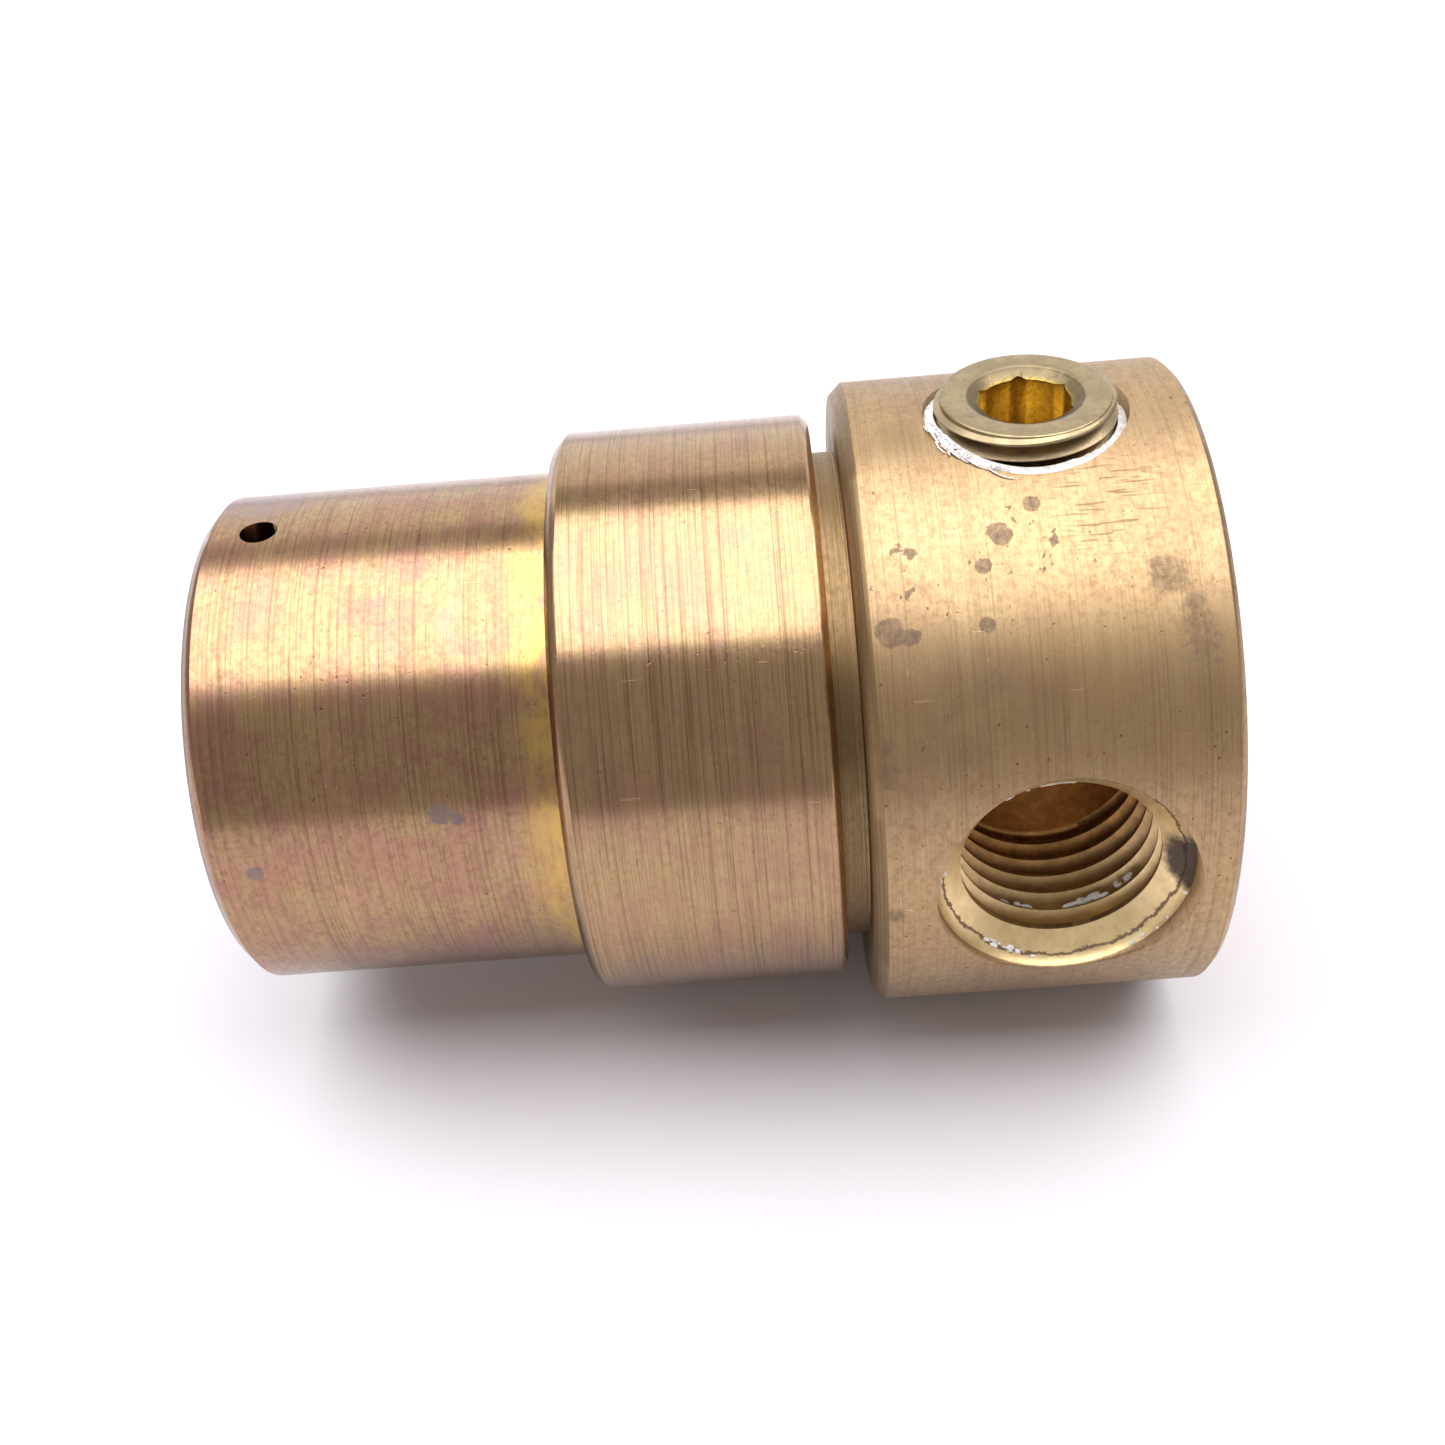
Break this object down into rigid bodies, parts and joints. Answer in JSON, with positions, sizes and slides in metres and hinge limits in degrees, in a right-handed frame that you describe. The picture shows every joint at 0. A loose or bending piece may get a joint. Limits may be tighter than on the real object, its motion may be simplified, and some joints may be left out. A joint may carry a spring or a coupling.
{
  "type": "swivel pipe coupling",
  "caption": "Brass swivel pipe coupling: a stepped bronze sleeve with a pipe socket turns on a round side-ported body whose second port is plugged.",
  "frame": {"origin": "centre of the pipe socket's mouth, on the coupling's axis", "axes": "+X along the axis from the socket to the ported body; +Z along the plugged port, outward; -Y along the open side port, outward"},
  "size_m": [0.0569, 0.0382, 0.0389],
  "materials": {
    "body_brass": "satin turned, light stains",
    "sleeve_bronze": "turned, heat tinted",
    "plug_brass": "satin",
    "thread_tape": "white PTFE tape",
    "race_steel": "ground",
    "ball_steel": "polished",
    "black_steel": "black oxide",
    "seal_rubber": "moulded nitrile",
    "seal_ptfe": "filled PTFE",
    "seal_carbon": "lapped carbon graphite",
    "seat_ceramic": "lapped alumina",
    "spring_steel": "stainless wire"
  },
  "bodies": {
    "port_body": {"port_body": "body_brass", "inner_race": "race_steel", "race_circlip": "black_steel", "seal_seat": "seat_ceramic", "seat_o_ring": "seal_rubber"},
    "rotor": {"rotor_sleeve": "sleeve_bronze", "outer_race": "race_steel", "race_plugs": "race_steel", "plug_screws": "black_steel", "grease_seal": "seal_ptfe", "dust_seal": "seal_rubber", "seal_o_ring": "seal_rubber", "seal_spring": "spring_steel", "drive_pins": "spring_steel"},
    "balls_left": {"ball_row_left": "ball_steel"},
    "balls_right": {"ball_row_right": "ball_steel"},
    "floating_seal": {"seal_ring": "seal_carbon", "spring_washer": "spring_steel"},
    "tape": {"plug_tape": "thread_tape"},
    "plug": {"port_plug": "plug_brass"}
  },
  "joints": [
    {"name": "rotor_turn", "type": "hinge", "parent": "port_body", "child": "rotor", "pos_m": [0, 0, 0], "axis": [1, 0, 0], "continuous": true},
    {"name": "balls_left_roll", "type": "hinge", "parent": "port_body", "child": "balls_left", "pos_m": [0, 0, 0], "axis": [1, 0, 0], "continuous": true},
    {"name": "balls_right_roll", "type": "hinge", "parent": "port_body", "child": "balls_right", "pos_m": [0, 0, 0], "axis": [1, 0, 0], "continuous": true},
    {"name": "seal_float", "type": "slide", "parent": "rotor", "child": "floating_seal", "axis": [1, 0, 0], "range_m": [-0.0006, 0], "stiffness_N_per_m": 3000, "springref_m": 0.003, "deforming": ["seal_spring"]},
    {"name": "plug_climb", "type": "slide", "parent": "port_body", "child": "tape", "axis": [0, 0, 1], "range_m": [0, 0.00658]},
    {"name": "plug_unscrew", "type": "hinge", "parent": "tape", "child": "plug", "pos_m": [0.0477, 0, 0], "axis": [0, 0, 1], "range_deg": [0, 2520]}
  ],
  "couplings": [
    {"joint": "balls_left_roll", "follows": "rotor_turn", "ratio": 0.54536},
    {"joint": "balls_right_roll", "follows": "rotor_turn", "ratio": 0.54536},
    {"joint": "plug_unscrew", "follows": "plug_climb", "rad_per_m": 6679}
  ]
}
